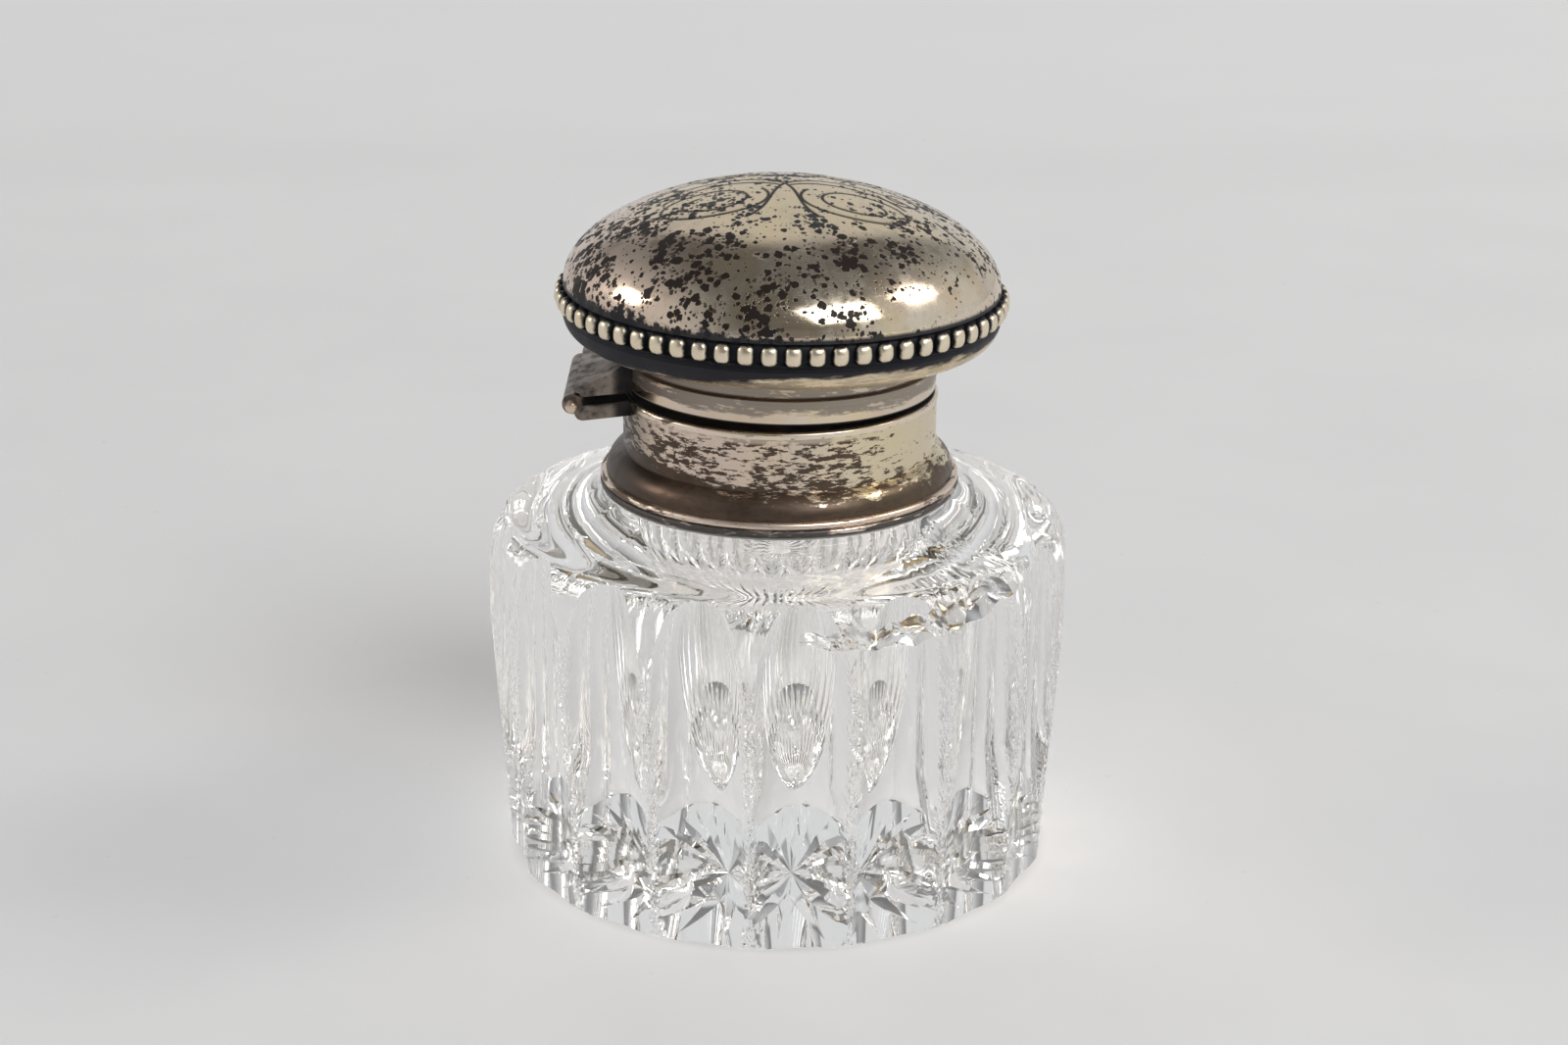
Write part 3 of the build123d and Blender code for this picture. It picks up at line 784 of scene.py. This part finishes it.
def collar_material():
    """Collar with rows of fine brown dashes, a brown flare and a dark side by the hinge."""
    pattern = Pattern("collar_silver")
    x, _, z = pattern.split(pattern.place)
    color, patch = silver_base(pattern)
    color = pattern.blend(pattern.ramp(x, -8.0, 14.0, 0.7, 0.0), color, COLLAR_ROSE)
    color = pattern.blend(pattern.ramp(x, 0.0, 15.0, 0.0, 0.75), color, COLLAR_GOLD)
    fine = pattern.noise(2.1, 4, 0.68, pattern.around(3.4))
    broad = pattern.noise(0.75, 4, 0.68, pattern.around(3.0))
    clusters = pattern.noise(0.17, 3, 0.6, pattern.around(1.5))
    low = pattern.ramp(z, *COLLAR_DASHES, 0.5, 0.0)
    left = pattern.ramp(x, -19.0, -8.0, 0.6, 0.0)
    right = pattern.ramp(x, 8.0, 14.5, 0.0, -0.7)
    share = pattern.add(pattern.ramp(clusters, 0.32, 0.58), low, left, right)
    level = pattern.add(pattern.scaled(fine, 0.82), pattern.scaled(broad, 0.18), pattern.scaled(share, 0.1))
    dashes = pattern.ramp(level, 0.592, 0.612)
    ragged = pattern.noise(0.6, 5, 0.7, pattern.around(2.6))
    flare_edge = pattern.scaled(pattern.math("SUBTRACT", ragged, 0.5), 9.0)
    slope = pattern.ramp(x, -20.0, 12.0, -2.2, -0.3)
    flare = pattern.ramp(pattern.add(z, flare_edge, slope), *FLARE_STAIN, 0.93, 0.0)
    lip = pattern.ramp(z, *COLLAR_LIP, 1.0, 0.35)
    tarnish = pattern.scaled(pattern.either(pattern.scaled(dashes, 0.95), flare), lip)
    brown = pattern.blend(pattern.noise(0.8, 3), DEEP_BROWN, WORN_BROWN)
    color = pattern.blend(tarnish, color, brown)
    back = pattern.ramp(x, -20.5, -14.0, 0.85, 0.0)
    color = pattern.blend(back, color, COLLAR_BACK)
    bare = pattern.math("SUBTRACT", 1.0, pattern.scaled(flare, 0.65))
    covered = pattern.scaled(pattern.scaled(tarnish, 0.75), bare)
    return silver_surface(pattern, color, covered, pattern.ramp(patch, 0.4, 0.6), 0.2)


def wire_material(name, tone, dark, cover):
    """Rolled wire along the mount: bright where it is rubbed, dark in streaks, and black on its inner face
    as painted shade.
    """
    pattern = Pattern(name)
    x = pattern.split(pattern.place)[0]
    color, patch = silver_base(pattern)
    color = pattern.blend(0.5, color, tone)
    streaks = pattern.noise(0.9, 4, 0.68, pattern.around(5.0))
    left = pattern.ramp(x, -20.0, -8.0, 0.12, 0.0)
    tarnish = pattern.ramp(pattern.add(streaks, left), 0.62 - cover, 0.68 - cover)
    color = pattern.blend(pattern.scaled(tarnish, 0.9), color, dark)
    # Painted shade: black on the inner face of the wire.
    inside = pattern.ramp(pattern.from_axis(), *WIRE_INSIDE_SHADE, 1.0, 0.0)
    color = pattern.blend(inside, color, BLACK_OXIDE_AND_SHADE)
    tarnish = pattern.either(pattern.scaled(tarnish, 0.5), inside)
    return silver_surface(pattern, color, tarnish, pattern.ramp(patch, 0.4, 0.6), 0.2)


def hinge_material():
    """Dull grey leaves and knuckles, black along the joint as painted shade, and black in the corner by the
    collar.
    """
    pattern = Pattern("hinge_silver")
    x, _, z = pattern.split(pattern.place)
    color, patch = silver_base(pattern)
    color = pattern.blend(0.9, color, HINGE_GREY)
    grime = pattern.noise(0.55, 5, 0.65)
    tarnish = pattern.ramp(grime, 0.4, 0.7)
    color = pattern.blend(pattern.scaled(tarnish, 0.9), color, HINGE_GRIME)
    # Painted shade: black along the joint between the leaves.
    joint = pattern.ramp(pattern.away(z, HINGE_JOINT), *JOINT_SHADE, 0.9, 0.0)
    inner = pattern.ramp(x, *LEAF_MIDDLE)
    blackening = pattern.scaled(joint, inner)
    corner = pattern.ramp(x, *LEAF_CORNER, 0.0, 0.85)
    blackening = pattern.either(blackening, corner)
    color = pattern.blend(blackening, color, BLACK_OXIDE_AND_SHADE)
    tarnish = pattern.either(pattern.scaled(tarnish, 0.5), pattern.scaled(blackening, 0.7))
    return silver_surface(pattern, color, tarnish, pattern.ramp(patch, 0.4, 0.6), 0.3)


def pin_material():
    """Pin with brown grime in patches."""
    pattern = Pattern("pin_silver")
    color, patch = silver_base(pattern)
    grime = pattern.ramp(pattern.noise(1.4, 4, 0.7), 0.5, 0.66)
    color = pattern.blend(pattern.scaled(grime, 0.8), color, BROWN_TARNISH_AND_SHADE)
    return silver_surface(pattern, color, pattern.scaled(grime, 0.4), patch, 0.26)


def gilt_material(name, stain, rim):
    """Worn gilding with black painted shade outside the given radius, where the lid closes on the collar."""
    pattern = Pattern(name)
    clouds = pattern.noise(0.12, 4, 0.6)
    color = pattern.blend(pattern.ramp(clouds, 0.35, 0.65), RICH_GILT, PALE_GILT)
    spots = pattern.ramp(pattern.add(pattern.noise(0.5, 5, 0.68), stain), 0.6, 0.68)
    color = pattern.blend(pattern.scaled(spots, 0.85), color, GILT_STAIN)
    # Painted shade: the gilding turns black outside the rim radius.
    blackening = pattern.ramp(pattern.add(pattern.from_axis(), pattern.noise(0.6, 3)), rim, rim + GILT_FADE)
    color = pattern.blend(blackening, color, BLACK_OXIDE_AND_SHADE)
    return silver_surface(pattern, color, pattern.either(pattern.scaled(spots, 0.6), blackening), clouds, 0.24)


def plaster_material():
    """Chalky plaster with faint brown stains."""
    pattern = Pattern("bedding_plaster")
    clouds = pattern.noise(0.3, 5, 0.65)
    color = pattern.blend(pattern.ramp(clouds, 0.35, 0.7), PLASTER, OLD_PLASTER)
    stains = pattern.ramp(pattern.noise(0.9, 4, 0.7), 0.6, 0.72, 0.0, 0.45)
    color = pattern.blend(stains, color, PLASTER_STAIN)
    pattern.bump(pattern.noise(2.5, 4, 0.7), 0.5, 0.08)
    return pattern.finish(color, pattern.ramp(clouds, 0.3, 0.7, 0.75, 0.9))


def glass_material():
    """Clear glass, frosted and warmer where the wear attribute says that it is worn."""
    pattern = Pattern("cut_glass")
    worn = pattern.node("ShaderNodeAttribute", attribute_name="wear").outputs["Fac"]
    grit = pattern.noise(2.2, 4, 0.7)
    frost = pattern.ramp(pattern.scaled(worn, pattern.add(grit, 0.2)), 0.35, 1.3)
    scuffs = pattern.noise(1.5, 4, 0.75, pattern.vector("MULTIPLY", pattern.place, (3.0, 3.0, 0.6)))
    scuffs = pattern.ramp(scuffs, 0.68, 0.74, 0.0, 0.02)
    tint = pattern.blend(pattern.noise(0.05, 2), COOL_GLASS, WARM_GLASS)
    tint = pattern.blend(pattern.scaled(frost, 0.4), tint, FROSTED_GLASS)
    pattern.shader.inputs["Transmission Weight"].default_value = 1.0
    pattern.shader.inputs["IOR"].default_value = GLASS_INDEX
    pattern.bump(pattern.scaled(grit, frost), 0.5, 0.1)
    return pattern.finish(tint, pattern.add(0.004, scuffs, pattern.scaled(frost, 0.2)))


# ---- bottle ----
points, faces, worn = glass_mesh()
glass = mesh_object("cut_glass_bottle", points, faces, sharp_degrees=12)
store_values(glass, "wear", worn)
glass.data.materials.append(glass_material())
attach(glass, "bottle")
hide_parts("glass_bottle")
glass.visible_shadow = False  # clear glass on a lit sheet throws next to no shadow of its own


# ---- plaster, seen through the glass where it touches it ----
def turned(name, outline):
    """Solid of revolution about the upright axis from a closed outline in radius and height."""
    angle = np.linspace(0, 2 * pi, TURNED_COLUMNS, endpoint=False)
    points = np.concatenate([spun_ring(angle, radius, height) for radius, height in outline])
    faces = ring_faces(len(outline), TURNED_COLUMNS, closed=True)
    return mesh_object(name, points, faces, sharp_degrees=30)


flare_start, flare_end = np.radians(FLARE_ANGLES)
flare = [
    (BED_OUTER + FLARE_UNDER_RADIUS * (1 + cos(turn)), FLARE_TOP + FLARE_UNDER_RADIUS * sin(turn))
    for turn in np.linspace(flare_start, flare_end, FLARE_POINTS)
]
bed_outline = [
    (BED_OUTER, MOUTH_HEIGHT - CONTACT),
    (NECK_RADIUS - CONTACT, MOUTH_HEIGHT - CONTACT),
    (NECK_RADIUS - CONTACT, SEAT_HEIGHT - CONTACT),
    (BED_HEEL, SEAT_HEIGHT - CONTACT),
    (BED_HEEL, BED_STEP_HEIGHTS[0]),
    (BED_STEP_RADIUS, BED_STEP_HEIGHTS[0]),
    (BED_STEP_RADIUS, BED_STEP_HEIGHTS[1]),
    *flare,
]
bed = turned("plaster_bedding", bed_outline)
bed.data.materials.append(plaster_material())
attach(bed, "bottle")
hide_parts("plaster_bed")


# ---- lid: beaded border and engraved dome ----
def lean(points):
    """Turn lid points from their untilted position to where the worn hinge holds the lid."""
    angle = radians(LID_TILT)
    x, y, z = np.asarray(points, float).T
    z = z - HEIGHT_OF_TILT
    up = z * cos(angle) - x * sin(angle) + HEIGHT_OF_TILT
    return np.stack([x * cos(angle) + z * sin(angle), y, up], axis=1)


def rounded(value):
    """Sine or cosine bent so that a circle of them turns squarish."""
    return np.sign(value) * np.abs(value) ** BEAD_SQUARENESS


def bead_points():
    """Squarish bead about its own centre, with its faces."""
    turn = np.linspace(0, 2 * pi, BEAD_COLUMNS, endpoint=False)[None, :]
    rise = np.linspace(-pi / 2, pi / 2, BEAD_ROWS + 2)[1:-1, None]
    radial = rounded(np.cos(rise)) * rounded(np.cos(turn))
    along = rounded(np.cos(rise)) * rounded(np.sin(turn))
    upright = rounded(np.sin(rise)) + 0 * turn
    points = np.stack([radial, along, upright], axis=2).reshape(-1, 3) * BEAD_HALF
    tip = len(points)
    points = np.concatenate([points, [(0, 0, -BEAD_HALF[2]), (0, 0, BEAD_HALF[2])]])
    faces = ring_faces(BEAD_ROWS, BEAD_COLUMNS) + fan(0, BEAD_COLUMNS, tip, flip=True)
    return points, faces + fan(tip - BEAD_COLUMNS, BEAD_COLUMNS, tip + 1)


def border_mesh():
    """Strip and its beads, each a little different from worn casting."""
    random = np.random.default_rng(5)
    angle = np.linspace(0, 2 * pi, 4 * BEADS, endpoint=False)
    parts = [np.concatenate([spun_ring(angle, radius, height) for radius, height in BORDER_OUTLINE])]
    faces = ring_faces(len(BORDER_OUTLINE), len(angle), closed=True)
    total = len(parts[0])
    bead, bead_faces = bead_points()
    for turn in 2 * pi * np.arange(BEADS) / BEADS:
        radial, along, upright = (bead * random.uniform(*BEAD_SPREAD, 3)).T
        radial = radial + BEAD_RING
        x = radial * cos(turn) - along * sin(turn)
        y = radial * sin(turn) + along * cos(turn)
        parts.append(np.stack([x, y, upright + BEAD_HEIGHT], axis=1))
        faces += shifted(bead_faces, total)
        total += len(bead)
    return np.concatenate(parts), faces


def flourish():
    """Plan of the engraved ornament, the same on both sides of its middle line."""
    t = np.linspace(0, 1, LINE_POINTS)
    curves = []
    for x, y, wide, deep, start, turns, shrink in SCROLLS:
        turn = radians(start) + 2 * pi * turns * t
        size = 1 - shrink * t
        curves.append(np.stack([x + wide * size * np.cos(turn), y + deep * size * np.sin(turn)], axis=1))
    curves += [bezier(stroke, t) for stroke in STROKES]
    right = np.concatenate(curves)
    share = np.linspace(0, 1, SCRATCH_POINTS)[:, None]
    marks = [np.array(a) + (np.array(b) - a) * share for a, b in SCRATCHES]
    return np.concatenate([right, right * (-1, 1), *marks])


def dome_outlines():
    """Radius and height of each ring of the dome: outside from its foot to near its top, then inside."""
    curve = bezier(DOME_CURVE, np.linspace(0, 1, DOME_CURVE_POINTS))
    length = np.concatenate([[0], np.cumsum(np.hypot(*np.diff(curve, axis=0).T))])
    side = np.interp(-DOME_FINE_RADIUS, -curve[:, 0], length)
    lengths = np.concatenate(
        [np.linspace(0, side, DOME_ROWS[0])[:-1], np.linspace(side, length[-1], DOME_ROWS[1])[:-1]]
    )
    outer = np.stack([np.interp(lengths, length, curve[:, axis]) for axis in (0, 1)], axis=1)
    inner = bezier(DOME_CURVE, np.linspace(0, 1, DOME_ROWS[2]))[-2::-1]
    return outer, inner - DOME_SHEET * np.clip((inner - (0, DOME_FOOT)) / SHEET_TAPER, 0, 1)


def engraving_depth(points):
    """How deep each point lies in an engraved line, from 0 to 1."""
    lines = flourish()
    tree = KDTree(len(lines))
    for index, (x, y) in enumerate(lines):
        tree.insert((x, y, 0), index)
    tree.balance()
    depth = np.zeros(len(points))
    for index in np.flatnonzero(np.hypot(points[:, 0], points[:, 1]) < ENGRAVED_RADIUS):
        away = tree.find((points[index, 0], points[index, 1], 0))[2]
        depth[index] = min(1, max(0, 1 - (away - LINE_HALF_WIDTH) / LINE_FADE))
    return depth


def dome_mesh():
    """Closed shell of the dome with the ornament cut into it, and how deep each point lies in a line."""
    columns = DOME_COLUMNS
    angle = np.linspace(0, 2 * pi, columns, endpoint=False)
    outer, inner = dome_outlines()
    points = np.concatenate([spun_ring(angle, radius, height) for radius, height in outer])
    depth = engraving_depth(points)
    points[:, 2] -= ENGRAVING_DEPTH * depth
    inside = np.concatenate([spun_ring(angle, radius, height) for radius, height in inner])
    base = len(points)
    crown = base + len(inside)
    rim = crown - columns
    faces = ring_faces(len(outer), columns) + shifted(ring_faces(len(inner), columns), base)
    faces += fan(base - columns, columns, crown) + fan(base, columns, crown + 1, flip=True)
    for column in range(columns):
        after = (column + 1) % columns
        faces.append((rim + column, rim + after, after, column))
    tips = [(0, 0, DOME_TOP), (0, 0, DOME_TOP - DOME_SHEET)]
    depth = np.concatenate([depth, np.zeros(len(inside) + len(tips))])
    return np.concatenate([points, inside, tips]), faces, depth


points, faces = border_mesh()
border = mesh_object("beaded_border", lean(points), faces, sharp_degrees=35)
border.data.materials.append(border_material())
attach(border, "lid")
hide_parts("bead_border")

points, faces, depth = dome_mesh()
dome = mesh_object("engraved_dome", lean(points), faces, sharp_degrees=60)
store_values(dome, "engraving", depth)
dome.data.materials.append(dome_material())
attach(dome, "lid")
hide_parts("lid_dome")

# ---- pieces that keep their CAD shape ----
hinge_silver = hinge_material()
hinge_nodes = ("collar_leaf", "lid_leaf", "collar_knuckle_near", "collar_knuckle_far", "lid_knuckle")
node_materials = {
    "collar_body": collar_material(),
    "collar_top_wire": wire_material("collar_lip_silver", LIP_SILVER, BROWN_TARNISH_AND_SHADE, 0.02),
    "base_bead_wire": wire_material("base_bead_silver", BEAD_WIRE_SILVER, BROWN_TARNISH_AND_SHADE, 0.05),
    "base_foot_wire": wire_material("foot_wire_silver", FOOT_WIRE_SILVER, FOOT_WIRE_DARK, 0.2),
    "mouth_flange": gilt_material("mouth_gilding", 0.06, MOUTH_GILT_SHADE_RIM),
    "lid_liner": gilt_material("liner_gilding", 0.0, LINER_GILT_SHADE_RIM),
    "lid_bezel_band": band_material(),
    "lid_underside": pan_material(),
    "hinge_pin": pin_material(),
    **dict.fromkeys(hinge_nodes, hinge_silver),
}
for name, material in node_materials.items():
    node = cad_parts[name]
    node.data.materials.clear()
    node.data.materials.append(material)


# ---- floor, light and camera ----
def floor_material():
    """Pale paper sheet with painted shade under the glass and along the line where it would curve up, and
    painted light that makes it paler further back.
    """
    pattern = Pattern("paper_sheet")
    y = pattern.split(pattern.place)[1]
    grain = pattern.noise(0.02, 3)
    color = pattern.blend(pattern.ramp(grain, 0.3, 0.7), PAPER, PALE_PAPER)
    # Painted shade: a soft darker band where the paper would curve up.
    sweep = pattern.ramp(pattern.away(y, SWEEP_SHADE_LINE), 0.0, SWEEP_HALF_WIDTH, 0.10, 0.0)
    color = pattern.blend(sweep, color, PAPER_SHADE)
    # Painted light: the paper is made paler further back.
    color = pattern.blend(pattern.ramp(y, *FAR_SHEET), color, FAR_PAPER_LIGHT)
    specks = pattern.ramp(pattern.noise(0.35, 2, 0.5), 0.74, 0.77, 0.0, 0.15)
    color = pattern.blend(specks, color, PAPER_SPECK)
    # Painted shade on the paper under the glass.
    under = pattern.ramp(pattern.from_axis(), *UNDER_SHADE_EDGE, 0.42, 0.0)
    color = pattern.blend(under, color, UNDER_GLASS_SHADE)
    return pattern.finish(color, pattern.ramp(grain, 0.3, 0.7, 0.6, 0.75))


near, far = -FLOOR_SIZE / 2, FLOOR_SIZE
floor_plan = [(-FLOOR_SIZE, near), (FLOOR_SIZE, near), (FLOOR_SIZE, far), (-FLOOR_SIZE, far)]
floor = mesh_object("floor", [(x, y, -FLOOR_GAP) for x, y in floor_plan], [(0, 1, 2, 3)])
floor.data.materials.append(floor_material())


def area_light(name, azimuth, elevation, distance, size, power, color=(1, 1, 1)):
    """Soft lamp that points at the object, azimuth in degrees from the camera's side towards +X."""
    light = bpy.data.lights.new(name, "AREA")
    light.shape = "RECTANGLE"
    light.size, light.size_y = size
    light.energy = power
    light.color = color
    lamp = bpy.data.objects.new(name, light)
    turn, rise = radians(azimuth), radians(elevation)
    back = Vector((sin(turn) * cos(rise), -cos(turn) * cos(rise), sin(rise)))
    lamp.location = Vector((0, 0, LAMP_TARGET)) + back * distance
    lamp.rotation_euler = back.to_track_quat("Z", "Y").to_euler()
    bpy.context.scene.collection.objects.link(lamp)


area_light("window", azimuth=38, elevation=43, distance=2.2, size=WINDOW_SIZE, power=23.5)
area_light("side_left", -93, 27, 2.0, SIDE_LAMP_SIZE, power=6.2, color=LEFT_LAMP)
area_light("side_right", 95, 42, 2.0, SIDE_LAMP_SIZE, power=6.8, color=RIGHT_LAMP)


def studio_world():
    """Pale sheet in front of a dimmer room: bright low down and behind, darker above and by the camera."""
    world = bpy.data.worlds.new("studio")
    bpy.context.scene.world = world
    world.use_nodes = True
    nodes = Nodes(world.node_tree)
    x, y, z = nodes.split(nodes.node("ShaderNodeTexCoord").outputs["Generated"])
    reach = nodes.length(nodes.math("DIVIDE", x, SHEET_WIDTH), nodes.math("DIVIDE", z, SHEET_TOP))
    sheet = nodes.scaled(nodes.ramp(reach, 0.93, 1.06, 1, 0), nodes.ramp(y, 0.0, 0.15))
    low = nodes.scaled(nodes.ramp(z, 0.22, 0.5, 1, 0), nodes.ramp(y, -0.75, 0.1, 0.35, 1))
    room = nodes.ramp(nodes.math("ABSOLUTE", x), 0.3, 0.9, ROOM_LEVEL, FLANK_LEVEL)
    level = nodes.either(nodes.scaled(sheet, SHEET_LEVEL), nodes.scaled(low, HORIZON_LEVEL), room)
    background = world.node_tree.nodes["Background"]
    nodes.feed(background.inputs["Strength"], level)
    background.inputs["Color"].default_value = WORLD_COLOR


studio_world()
bpy.context.scene.view_settings.view_transform = "Standard"
bpy.context.scene.cycles.max_bounces = 24
bpy.context.scene.cycles.transmission_bounces = 24
bpy.context.scene.cycles.glossy_bounces = 12

camera_data = bpy.data.cameras.new("camera")
camera_data.lens = CAMERA_LENS
camera_data.sensor_width = CAMERA_SENSOR
camera_data.clip_start, camera_data.clip_end = 0.01, 20
camera = bpy.data.objects.new("camera", camera_data)
bpy.context.scene.collection.objects.link(camera)
camera.location = CAMERA_PLACE
pitch, roll = radians(CAMERA_PITCH), radians(CAMERA_ROLL)
look = Matrix.Rotation(pi / 2 - pitch, 3, "X") @ Matrix.Rotation(-roll, 3, "Z")
camera.rotation_euler = look.to_euler()
bpy.context.scene.camera = camera
